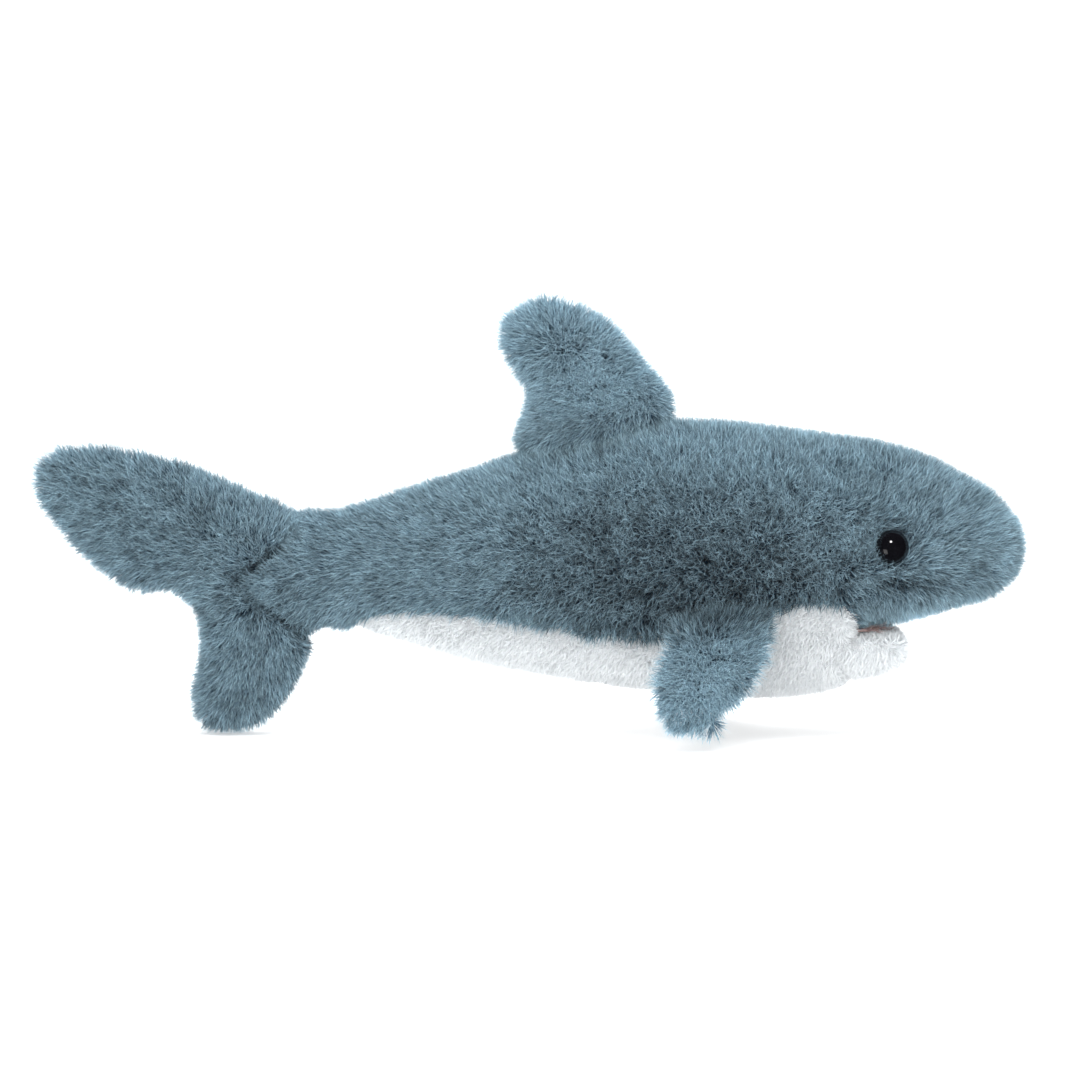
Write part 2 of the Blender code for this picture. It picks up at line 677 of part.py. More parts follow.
def build_tail_fin(axis, origin):
    """Both lobes from one pair of panels, hollowed in front round the tail stem's V."""

    def place(flat, across):
        return Vector((flat.x, across, max(flat.y, 0.0)))

    sides = 16
    parent = {"parent": axis, "origin": origin}
    outer = fin_rings(TAIL_FIN, sides, 0.0, place)
    inner = fin_rings(TAIL_FIN, sides, CLOTH * 0.8, place, 2.2, 2.2)
    outer = [blunt_end(outer[0], outer[1]), *outer, blunt_end(outer[-1], outer[-2])]
    inner = [blunt_end(inner[0], inner[1], 0.2), *inner, blunt_end(inner[-1], inner[-2], 0.2)]
    core = fin_rings(TAIL_FIN, sides, CLOTH * 0.8 + STUFFING_GAP, place, 3.2, 3.2)
    names = ("tail_fin_left_panel", "tail_fin_right_panel")
    looks = (LOOKS["blue_plush"],) * 2
    made = list(fin_panels(names, looks, outer, inner, parent))
    made.append(add_object("tail_fin_stuffing", filled(core), LOOKS["fibre"], **parent))
    heights = (-15, 25, 35, 38.4, 42, 46, 50, APEX_Z, 56, 59, 64.3, 68, 71.6, 75, 78, 90, 120)
    profile = [(0, heights[0])]
    profile += [(smooth_value(WRIST, z) + JOINT_GAP, z) for z in heights]
    profile.append((0, heights[-1]))
    socket = turned(profile, 48)
    bmesh.ops.translate(socket, verts=socket.verts, vec=(TAIL_AXIS_X, 0, 0))
    front = bmesh.new()
    bmesh.ops.create_cube(front, size=1)
    length, width, height = 40, 60, 160  # a box ahead of the axis, larger than the fin's front
    bmesh.ops.scale(front, verts=front.verts, vec=(length, width, height))
    bmesh.ops.translate(front, verts=front.verts, vec=(TAIL_AXIS_X + length / 2, 0, 60))
    cutters = add_cutter("wrist_socket", socket), add_cutter("wrist_front", front)
    for piece in made:
        for cutter in cutters:
            cut(piece, cutter)


def build_stem(axis, origin):
    """The narrow rear of the body, between the bend and the V seam."""
    blue, white = LOOKS["blue_plush"], LOOKS["white_plush"]
    ends = {
        "rear": (wrist_joint_x, 0.0),
        "front": (stem_joint_x, JOINT_GAP),
        "parent": axis,
        "origin": origin,
    }

    def top(x):
        return math.pi / 2

    stations = [-90, -72, BELLY_END_X, *STEM_STATIONS]
    limits = seam_angle, top
    body_panel("tail_stem_right_panel", blue, stations, *limits, 9, **ends)
    body_panel("tail_stem_left_panel", blue, stations, *mirrored_limits(*limits), 9, **ends)

    def right_edge(x):
        return -math.pi - seam_angle(x)

    belly_ends = {"front": ends["front"], "parent": axis, "origin": origin}
    belly = STEM_STATIONS
    body_panel("tail_stem_belly_panel", white, belly, right_edge, seam_angle, 7, **belly_ends)
    depth = CLOTH + STUFFING_GAP
    sides = 20
    back = ring_at(0, depth, sides, joint=wrist_joint_x)
    front = ring_at(0, depth, sides, joint=stem_joint_x, gap=JOINT_GAP)
    between = [ring_at(x, depth, sides) for x in (-72, BELLY_END_X, *STEM_STATIONS[:5])]
    caps = joint_cap(back, wrist_joint_x, 0.0), joint_cap(front, stem_joint_x, JOINT_GAP)
    mesh = filled([back, *between, front], *caps)
    add_object("tail_stem_stuffing", mesh, LOOKS["fibre"], axis, origin)


for thing in list(bpy.data.objects):
    bpy.data.objects.remove(thing, do_unlink=True)

LOOKS = {
    "blue_plush": material("blue_plush", BLUE, 0.9),
    "white_plush": material("white_plush", WHITE, 0.9),
    "pink_felt": material("pink_felt", PINK, 0.9),
    "black_plastic": material("black_plastic", BLACK, 0.12),
    "fibre": material("fibre", FIBRE, 1.0),
    "nylon": material("nylon", NYLON, 0.5),
    "cutter": material("cutter", PINK, 0.5),
}

build_eyes(build_body())
jaw_axis = add_axis("jaw_axis", JAW_AXIS)
build_mouth(build_jaw(jaw_axis))
stem_origin = Vector((STEM_AXIS_X, 0, 60))
stem_axis = add_axis("tail_stem_axis", stem_origin)
build_stem(stem_axis, stem_origin)
tail_origin = Vector((TAIL_AXIS_X, 0, APEX_Z))
tail_axis = add_axis("tail_fin_axis", tail_origin)
build_tail_fin(tail_axis, tail_origin)
dorsal_rear, dorsal_front = Vector(DORSAL_FIN[0][0]), Vector(DORSAL_FIN[0][1])
dorsal_middle = (dorsal_rear + dorsal_front) / 2
dorsal_origin = Vector((dorsal_middle.x, 0, dorsal_middle.y))
build_dorsal(add_axis("dorsal_axis", dorsal_origin), dorsal_origin)
for fin_side, fin_word in ((-1, "right"), (1, "left")):
    fin_origin = Vector((PECTORAL_AXIS.x, -fin_side * PECTORAL_AXIS.y, PECTORAL_AXIS.z))
    fin_axis = add_axis(fin_word + "_pectoral_axis", fin_origin)
    build_pectoral(fin_side, fin_word, fin_axis, fin_origin)
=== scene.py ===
import json
import math

import bmesh
import bpy
import numpy as np
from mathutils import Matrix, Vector, noise
from mathutils.bvhtree import BVHTree


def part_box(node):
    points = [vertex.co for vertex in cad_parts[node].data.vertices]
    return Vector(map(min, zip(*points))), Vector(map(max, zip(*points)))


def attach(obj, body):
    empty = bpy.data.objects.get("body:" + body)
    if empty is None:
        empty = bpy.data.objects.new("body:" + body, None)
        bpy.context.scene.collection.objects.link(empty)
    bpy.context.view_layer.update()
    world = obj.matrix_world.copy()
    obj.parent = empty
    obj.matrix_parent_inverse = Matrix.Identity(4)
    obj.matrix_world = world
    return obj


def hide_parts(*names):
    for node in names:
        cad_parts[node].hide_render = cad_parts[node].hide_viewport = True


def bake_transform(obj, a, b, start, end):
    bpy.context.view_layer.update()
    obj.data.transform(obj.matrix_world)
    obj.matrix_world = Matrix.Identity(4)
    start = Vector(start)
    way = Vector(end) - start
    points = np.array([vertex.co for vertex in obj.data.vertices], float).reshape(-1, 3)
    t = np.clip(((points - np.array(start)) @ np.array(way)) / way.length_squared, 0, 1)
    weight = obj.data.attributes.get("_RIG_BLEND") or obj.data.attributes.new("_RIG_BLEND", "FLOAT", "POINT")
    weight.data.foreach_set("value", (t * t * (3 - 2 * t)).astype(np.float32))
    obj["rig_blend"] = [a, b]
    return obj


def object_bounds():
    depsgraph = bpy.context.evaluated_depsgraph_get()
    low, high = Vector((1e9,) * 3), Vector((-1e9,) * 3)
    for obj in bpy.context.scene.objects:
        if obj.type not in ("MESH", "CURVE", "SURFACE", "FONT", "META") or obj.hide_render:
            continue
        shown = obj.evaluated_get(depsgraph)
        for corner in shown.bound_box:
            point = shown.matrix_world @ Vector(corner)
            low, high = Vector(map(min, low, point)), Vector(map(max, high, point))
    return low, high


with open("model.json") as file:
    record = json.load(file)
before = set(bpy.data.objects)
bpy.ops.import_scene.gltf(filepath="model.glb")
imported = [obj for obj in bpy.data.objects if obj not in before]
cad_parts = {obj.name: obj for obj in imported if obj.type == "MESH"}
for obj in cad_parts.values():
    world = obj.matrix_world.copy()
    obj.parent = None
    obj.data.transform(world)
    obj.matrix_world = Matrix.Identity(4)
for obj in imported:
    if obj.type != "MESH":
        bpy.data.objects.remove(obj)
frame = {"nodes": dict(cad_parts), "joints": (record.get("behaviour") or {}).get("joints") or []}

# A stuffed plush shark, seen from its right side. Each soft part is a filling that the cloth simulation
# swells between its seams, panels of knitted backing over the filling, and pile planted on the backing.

MM = 0.001
CAD_BOX = [list(corner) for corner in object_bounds()]
noise.seed_set(1)  # the pile's swirls are then the same in every run

# Pile and cloth, in metres
PILE_LENGTH = 7.0 * MM
STRAND_WIDTH = 0.345 * MM
FLOOR_GAP = 0.2 * MM  # the pile that a fin stands on is pressed flat this far above the floor
BACKING = 0.5 * MM  # the filling stays this far below the backing
BODY_GRAIN = 2.5 * MM  # size of the filling's faces
FIN_GRAIN = 1.7 * MM
SWELL = 1.2 * MM  # furthest that a filling may swell
SWELL_STEPS = 12
SEAM_WIDTH = 5.0 * MM
SEAM_DEPTH = 1.6 * MM  # how far a seam draws the cloth in
EYE_CLEARING = 4.0 * MM  # no pile grows within this of an eye's middle

# Places along the shark and up it, in metres
WRIST_X = -0.081  # narrowest part of the tail
THROAT_X = 0.113  # rear end of the crease under the eye, close to the mouth's corner
LIP_X = 0.126  # the lip starts here, and behind it the muzzle's lower corner is cut off
NOSE_X = 0.145
BACK_Z = 0.111  # the dorsal fin's foot lies on the back below this
CREASE_Z = 0.047  # below this the muzzle's edge is its lip, above it the crease
MOUTH_Z = 0.039
CHEEK = (0.118, 0.0, 0.060)  # the snout's pile fans out from here


# ---------------------------------------------------------------- places taken from the frame

def middle(node):
    low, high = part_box(node)
    return (low + high) / 2


def joint_place(name):
    joint = next(j for j in frame["joints"] if j["name"] == name)
    return Vector(joint["pos_m"])


# ---------------------------------------------------------------- materials

def new_material(name, base, roughness, sheen=0.0):
    """A material with the values that are the same all over it, its node tree and its shader."""
    material = bpy.data.materials.new(name)
    material.use_nodes = True
    shader = material.node_tree.nodes["Principled BSDF"]
    shader.inputs["Base Color"].default_value = (*base, 1)
    shader.inputs["Roughness"].default_value = roughness
    shader.inputs["Sheen Weight"].default_value = sheen
    shader.inputs["Sheen Roughness"].default_value = 0.5
    return material, material.node_tree, shader


def add_node(tree, kind, settings=None, **inputs):
    """A node with its settings, and its inputs given as values or as sockets to link from."""
    node = tree.nodes.new(kind)
    for key, value in (settings or {}).items():
        setattr(node, key, value)
    for key, value in inputs.items():
        socket = node.inputs[int(key[1:])] if key[1:].isdigit() else node.inputs[key]
        if isinstance(value, bpy.types.NodeSocket):
            tree.links.new(value, socket)
        else:
            socket.default_value = value
    return node


def new_group(name, kind, inputs, outputs):
    """A node group with those sockets, and its input and output nodes."""
    group = bpy.data.node_groups.new(name, kind)
    for in_out, sockets in (("INPUT", inputs), ("OUTPUT", outputs)):
        for label, socket_kind, value in sockets:
            socket = group.interface.new_socket(label, in_out=in_out, socket_type=socket_kind)
            if value is not None:
                socket.default_value = value
    return group, group.nodes.new("NodeGroupInput"), group.nodes.new("NodeGroupOutput")


def pile_shade_group():
    """Colour and gloss of pile: painted shade darkens it towards the root, pale at the tip, uneven from tuft
    to tuft.
    """
    group, given, result = new_group(
        "pile shade", "ShaderNodeTree",
        [("Root", "NodeSocketColor", (0.05, 0.09, 0.12, 1)),
         ("Tip", "NodeSocketColor", (0.4, 0.55, 0.6, 1)),
         ("Unevenness", "NodeSocketFloat", 0.3)],
        [("Color", "NodeSocketColor", None), ("Roughness", "NodeSocketFloat", None)])
    along = add_node(group, "ShaderNodeAttribute", {"attribute_name": "along"}).outputs["Fac"]
    tone = add_node(group, "ShaderNodeAttribute", {"attribute_name": "tone"}).outputs["Fac"]
    place = add_node(group, "ShaderNodeTexCoord").outputs["Object"]
    tufts = add_node(group, "ShaderNodeTexNoise", {}, Vector=place, Scale=140.0, Detail=2.0)
    # Painted shade: each strand's colour runs from the dark root colour up to the tip colour.
    rise = add_node(group, "ShaderNodeMath", {"operation": "POWER"}, _0=along, _1=2.2)
    shade = add_node(group, "ShaderNodeMix", {"data_type": "RGBA"}, _0=rise.outputs[0],
                     _6=given.outputs["Root"], _7=given.outputs["Tip"])
    both = add_node(group, "ShaderNodeMath", {"operation": "ADD"}, _0=tone, _1=tufts.outputs["Fac"])
    lowered = add_node(group, "ShaderNodeMath", {"operation": "SUBTRACT"}, _0=both.outputs[0], _1=1.45)
    gain = add_node(group, "ShaderNodeMath", {"operation": "MULTIPLY_ADD", "use_clamp": True},
                    _0=lowered.outputs[0], _1=given.outputs["Unevenness"], _2=1.0)
    tinted = add_node(group, "ShaderNodeVectorMath", {"operation": "SCALE"}, _0=shade.outputs[2],
                      Scale=gain.outputs[0])
    gloss = add_node(group, "ShaderNodeMapRange", {}, Value=tone, **{"To Min": 0.5, "To Max": 0.75})
    group.links.new(tinted.outputs[0], result.inputs["Color"])
    group.links.new(gloss.outputs[0], result.inputs["Roughness"])
    return group


def knit_group():
    """Rows of fine loops, as on the backing that pile is sewn through: a mask and a height."""
    group, given, result = new_group(
        "knit", "ShaderNodeTree",
        [("Rows per Metre", "NodeSocketFloat", 900.0)],
        [("Mask", "NodeSocketFloat", None), ("Height", "NodeSocketFloat", None)])
    place = add_node(group, "ShaderNodeTexCoord").outputs["Object"]
    rows = add_node(group, "ShaderNodeTexWave", {"bands_direction": "Z"}, Vector=place,
                    Scale=given.outputs[0], Distortion=1.5)
    loops = add_node(group, "ShaderNodeTexWave", {"bands_direction": "X"}, Vector=place,
                     Scale=given.outputs[0], Distortion=1.5)
    crossed = add_node(group, "ShaderNodeMath", {"operation": "MULTIPLY"}, _0=rows.outputs["Fac"],
                       _1=loops.outputs["Fac"])
    group.links.new(crossed.outputs[0], result.inputs["Mask"])
    group.links.new(crossed.outputs[0], result.inputs["Height"])
    return group


def pile_material(name, root, tip, unevenness):
    material, tree, shader = new_material(name, tip, 0.6, sheen=0.05)
    shader.inputs["Specular IOR Level"].default_value = 0.3
    shade = add_node(tree, "ShaderNodeGroup", {"node_tree": PILE_SHADE})
    shade.inputs["Root"].default_value = (*root, 1)
    shade.inputs["Tip"].default_value = (*tip, 1)
    shade.inputs["Unevenness"].default_value = unevenness
    tree.links.new(shade.outputs["Color"], shader.inputs["Base Color"])
    tree.links.new(shade.outputs["Roughness"], shader.inputs["Roughness"])
    return material


def backing_material(name, valley, ridge):
    """Knitted backing cloth, with painted shade in the gaps between its loops."""
    material, tree, shader = new_material(name, ridge, 0.85)
    knit = add_node(tree, "ShaderNodeGroup", {"node_tree": KNIT})
    # Painted shade: the low gaps of the knit take the darker valley colour.
    colour = add_node(tree, "ShaderNodeMix", {"data_type": "RGBA"}, _0=knit.outputs["Mask"],
                      _6=(*valley, 1), _7=(*ridge, 1))
    bump = add_node(tree, "ShaderNodeBump", Strength=0.4, Distance=0.2 * MM,
                    Height=knit.outputs["Height"])
    tree.links.new(colour.outputs[2], shader.inputs["Base Color"])
    tree.links.new(bump.outputs[0], shader.inputs["Normal"])
    return material


def fibre_material():
    """Loose white polyester fibre."""
    material, tree, shader = new_material("filling fibre", (0.8, 0.8, 0.78), 0.9, sheen=0.3)
    place = add_node(tree, "ShaderNodeTexCoord").outputs["Object"]
    wisps = add_node(tree, "ShaderNodeTexNoise", {}, Vector=place, Scale=700.0, Detail=6.0,
                     Distortion=2.0)
    colour = add_node(tree, "ShaderNodeMix", {"data_type": "RGBA"}, _0=wisps.outputs["Fac"],
                      _6=(0.66, 0.66, 0.64, 1), _7=(0.88, 0.88, 0.86, 1))
    bump = add_node(tree, "ShaderNodeBump", Strength=0.6, Distance=0.6 * MM,
                    Height=wisps.outputs["Fac"])
    tree.links.new(colour.outputs[2], shader.inputs["Base Color"])
    tree.links.new(bump.outputs[0], shader.inputs["Normal"])
    return material


def felt_material():
    """Pink felt of the mouth, with short matted fibres."""
    material, tree, shader = new_material("mouth felt", (0.45, 0.22, 0.2), 0.9, sheen=0.2)
    place = add_node(tree, "ShaderNodeTexCoord").outputs["Object"]
    matted = add_node(tree, "ShaderNodeTexNoise", {}, Vector=place, Scale=1400.0, Detail=5.0)
    colour = add_node(tree, "ShaderNodeMix", {"data_type": "RGBA"}, _0=matted.outputs["Fac"],
                      _6=(0.42, 0.24, 0.22, 1), _7=(0.72, 0.50, 0.47, 1))
    bump = add_node(tree, "ShaderNodeBump", Strength=0.5, Distance=0.2 * MM,
                    Height=matted.outputs["Fac"])
    tree.links.new(colour.outputs[2], shader.inputs["Base Color"])
    tree.links.new(bump.outputs[0], shader.inputs["Normal"])
    return material


def plastic_material(name, base, rough_low, rough_high, scale):
    """Moulded plastic, its gloss broken slightly by handling."""
    material, tree, shader = new_material(name, base, rough_low)
    place = add_node(tree, "ShaderNodeTexCoord").outputs["Object"]
    marks = add_node(tree, "ShaderNodeTexNoise", {}, Vector=place, Scale=scale, Detail=4.0)
    gloss = add_node(tree, "ShaderNodeMapRange", {}, Value=marks.outputs["Fac"],
                     **{"To Min": rough_low, "To Max": rough_high})
    colour = add_node(tree, "ShaderNodeMix", {"data_type": "RGBA"}, _0=marks.outputs["Fac"],
                      _6=(*(0.8 * part for part in base), 1), _7=(*(1.2 * part for part in base), 1))
    tree.links.new(gloss.outputs[0], shader.inputs["Roughness"])
    tree.links.new(colour.outputs[2], shader.inputs["Base Color"])
    return material


PILE_SHADE = pile_shade_group()
KNIT = knit_group()
# The root colours are painted shade at the foot of the pile.
BLUE_PILE = pile_material("blue pile", (0.007, 0.042, 0.086), (0.57, 0.83, 0.96), 0.66)
WHITE_PILE = pile_material("white pile", (0.83, 0.86, 0.88), (0.91, 0.93, 0.94), 0.08)
PINK_PILE = pile_material("pink threads", (0.5, 0.32, 0.30), (1.0, 0.86, 0.84), 0.6)
# Painted shade: the blue backing is nearly as dark as the blue pile's roots, for the shade under the pile.
BLUE_BACKING = backing_material("blue backing", (0.006, 0.020, 0.036), (0.02, 0.052, 0.084))
WHITE_BACKING = backing_material("white backing", (0.78, 0.79, 0.80), (0.88, 0.88, 0.89))
FIBRE = fibre_material()
FELT = felt_material()
EYE_BLACK = plastic_material("eye black", (0.003, 0.003, 0.004), 0.04, 0.09, 300.0)
NYLON = plastic_material("washer nylon", (0.6, 0.6, 0.58), 0.35, 0.5, 500.0)


# ---------------------------------------------------------------- mesh helpers

def new_object(name, mesh, material=None):
    piece = bpy.data.objects.new(name, mesh)
    bpy.context.scene.collection.objects.link(piece)
    if material is not None:
        mesh.materials.clear()
        mesh.materials.append(material)
    return piece


def merged_copy(name, nodes):
    """A mesh of copies of those CAD solids, with their loose triangles merged."""
    form = bmesh.new()
    for node in nodes:
        form.from_mesh(frame["nodes"][node].data)
    bmesh.ops.remove_doubles(form, verts=form.verts, dist=1e-7)
    mesh = bpy.data.meshes.new(name)
    form.to_mesh(mesh)
    form.free()
    return mesh


def applied(piece):
    """The piece with its modifiers applied."""
    graph = bpy.context.evaluated_depsgraph_get()
    mesh = bpy.data.meshes.new_from_object(piece.evaluated_get(graph), depsgraph=graph)
    piece.modifiers.clear()
    piece.data = mesh
    return piece


def points_of(mesh):
    points = np.empty(len(mesh.vertices) * 3)
    mesh.vertices.foreach_get("co", points)
    return points.reshape(-1, 3)


def normals_of(mesh):
    normals = np.empty(len(mesh.vertices) * 3)
    mesh.vertex_normals.foreach_get("vector", normals)
    return normals.reshape(-1, 3)


def place_points(mesh, points):
    mesh.vertices.foreach_set("co", np.asarray(points, float).ravel())
    mesh.update()


def write_attribute(mesh, label, kind, values):
    attribute = mesh.attributes.get(label) or mesh.attributes.new(label, kind, "POINT")
    key = "vector" if kind == "FLOAT_VECTOR" else "value"
    attribute.data.foreach_set(key, np.asarray(values, float).ravel())


def read_attribute(mesh, label, width=1):
    values = np.empty(len(mesh.vertices) * width)
    mesh.attributes[label].data.foreach_get("value" if width == 1 else "vector", values)
    return values if width == 1 else values.reshape(-1, width)


def outer_skin_only(mesh):
    """Removes every closed surface but the widest."""
    form = bmesh.new()
    form.from_mesh(mesh)
    left = set(form.verts)
    islands = []
    while left:
        island, front = set(), [left.pop()]
        while front:
            vert = front.pop()
            island.add(vert)
            for edge in vert.link_edges:
                other = edge.other_vert(vert)
                if other in left:
                    left.discard(other)
                    front.append(other)
        islands.append(island)
    widest = max(islands, key=lambda verts: max(v.co.x for v in verts) - min(v.co.x for v in verts))
    bmesh.ops.delete(form, geom=[v for v in form.verts if v not in widest], context="VERTS")
    form.to_mesh(mesh)
    form.free()


def remeshed(name, nodes, grain):
    """One closed even mesh around those filling solids."""
    piece = new_object(name, merged_copy(name, nodes))
    remesh = piece.modifiers.new("remesh", "REMESH")
    remesh.mode = "VOXEL"
    remesh.voxel_size = grain
    applied(piece)
    outer_skin_only(piece.data)
    smooth = piece.modifiers.new("smooth", "SMOOTH")
    smooth.factor = 0.5
    smooth.iterations = 4
    return applied(piece)


def eased(value):
    value = np.clip(value, 0, 1)
    return value * value * (3 - 2 * value)


def nearest_on_cloths(points, cloths):
    """Distance from each point to each cloth, a row for each cloth, and the nearest places on
    it. A cloth is one or more CAD panels."""
    distances, places = [], []
    for panels in cloths:
        verts, faces = [], []
        for panel in panels:
            mesh = frame["nodes"][panel].data
            faces += [[len(verts) + index for index in p.vertices] for p in mesh.polygons]
            verts += [v.co for v in mesh.vertices]
        tree = BVHTree.FromPolygons(verts, faces)
        found = [tree.find_nearest(Vector(point)) for point in points]
        distances.append([hit[3] for hit in found])
        places.append([hit[0][:] for hit in found])
    return np.array(distances), np.array(places)


def seam_closeness(distances):
    """1 on the line between two cloths, falling to 0 away from it."""
    if len(distances) < 2:
        return np.zeros(distances.shape[1])
    nearest = np.sort(distances, axis=0)
    return 1 - eased((nearest[1] - nearest[0]) / SEAM_WIDTH)


# ---------------------------------------------------------------- fillings

def swell(piece, seams):
    """Lets the filling press the cloth out between the seams, which hold still."""
    before = points_of(piece.data)
    group = piece.vertex_groups.new(name="seams")
    for index, held in enumerate(seams):
        if held > 0.05:
            group.add([index], float(held), "REPLACE")
    cloth = piece.modifiers.new("cloth", "CLOTH")
    cloth.settings.quality = 5
    cloth.settings.mass = 0.2
    cloth.settings.tension_stiffness = 8
    cloth.settings.compression_stiffness = 8
    cloth.settings.bending_stiffness = 2
    cloth.settings.use_pressure = True
    cloth.settings.uniform_pressure_force = 4
    cloth.settings.vertex_group_mass = "seams"
    cloth.settings.effector_weights.gravity = 0
    cloth.point_cache.frame_start = 1
    cloth.point_cache.frame_end = SWELL_STEPS
    for step in range(1, SWELL_STEPS + 1):
        bpy.context.scene.frame_set(step)
    applied(piece)
    bpy.context.scene.frame_set(1)
    after = points_of(piece.data)
    move = after - before
    far = np.linalg.norm(move, axis=1, keepdims=True)
    move *= np.minimum(1, SWELL / np.maximum(far, 1e-9))
    place_points(piece.data, before + move)
    piece.vertex_groups.clear()


def stuffed(name, fillings, cloths, grain=FIN_GRAIN, reshape=None):
    """The closed surface of a stuffed part, which its cloths are cut from, with what each point
    needs to know: which cloth it is nearest to, how close it is to a seam, and which way leads
    away from that seam."""
    piece = remeshed(name, fillings, grain)
    points = points_of(piece.data)
    distances, places = nearest_on_cloths(points, [cloth["panels"] for cloth in cloths])
    distances += [cloth["yields"](points) for cloth in cloths]
    seams = seam_closeness(distances)
    order = np.argsort(distances, axis=0)
    away = np.zeros_like(points)
    if len(cloths) > 1:
        away = points - places[order[1], np.arange(len(points))]
    for label, kind, values in (("owner", "FLOAT", order[0]), ("seam", "FLOAT", seams),
                                ("away", "FLOAT_VECTOR", away)):
        write_attribute(piece.data, label, kind, values)
    if reshape is not None:
        place_points(piece.data, reshape(points))
    swell(piece, seams)
    points = points_of(piece.data) - normals_of(piece.data) * (SEAM_DEPTH * seams[:, None])
    place_points(piece.data, points)
    return piece


# ---------------------------------------------------------------- cutting the cloth

def cut_at(mesh, point, normal, close):
    """Keeps the part of the mesh on the side that the normal points away from."""
    form = bmesh.new()
    form.from_mesh(mesh)
    everything = form.verts[:] + form.edges[:] + form.faces[:]
    cut = bmesh.ops.bisect_plane(form, geom=everything, dist=1e-7, plane_co=point,
                                 plane_no=normal, clear_outer=True)
    if close:
        rim = [item for item in cut["geom_cut"] if isinstance(item, bmesh.types.BMEdge)]
        bmesh.ops.contextual_create(form, geom=rim)
        bmesh.ops.triangulate(form, faces=[f for f in form.faces if len(f.verts) > 4])
    form.to_mesh(mesh)
    form.free()


def filling_of(name, surface):
    """The filling itself, a closed piece just below the cloth."""
    piece = new_object(name, surface.data.copy(), FIBRE)
    place_points(piece.data, points_of(piece.data) - normals_of(piece.data) * BACKING)
    piece.data.shade_smooth()
    return piece


def cut_cloth(name, surface, number, material):
    """The faces of the surface that belong to one cloth, as a piece of its own."""
    form = bmesh.new()
    form.from_mesh(surface.data)
    owner = form.verts.layers.float["owner"]
    others = [face for face in form.faces
              if sum(abs(vert[owner] - number) < 0.5 for vert in face.verts) < 2]
    bmesh.ops.delete(form, geom=others, context="FACES")
    bmesh.ops.subdivide_edges(form, edges=form.edges, cuts=1, use_grid_fill=True, smooth=0.0)
    mesh = bpy.data.meshes.new(name)
    form.to_mesh(mesh)
    form.free()
    piece = new_object(name, mesh, material)
    mesh.shade_smooth()
    return piece


# ---------------------------------------------------------------- pile

def strand_object():
    """One strand: a thin tapered blade of unit length that curls towards +Y."""
    half, shoulder, height, bend, curl = 0.5, 0.38, 0.55, 0.06, 0.28
    mesh = bpy.data.meshes.new("strand")
    mesh.from_pydata([(-half, 0, 0), (half, 0, 0), (shoulder, bend, height),
                      (-shoulder, bend, height), (0, curl, 1)], [], [(0, 1, 2, 3), (3, 2, 4)])
    write_attribute(mesh, "along", "FLOAT", [0, 0, height, height, 1])
    return bpy.data.objects.new("strand", mesh)


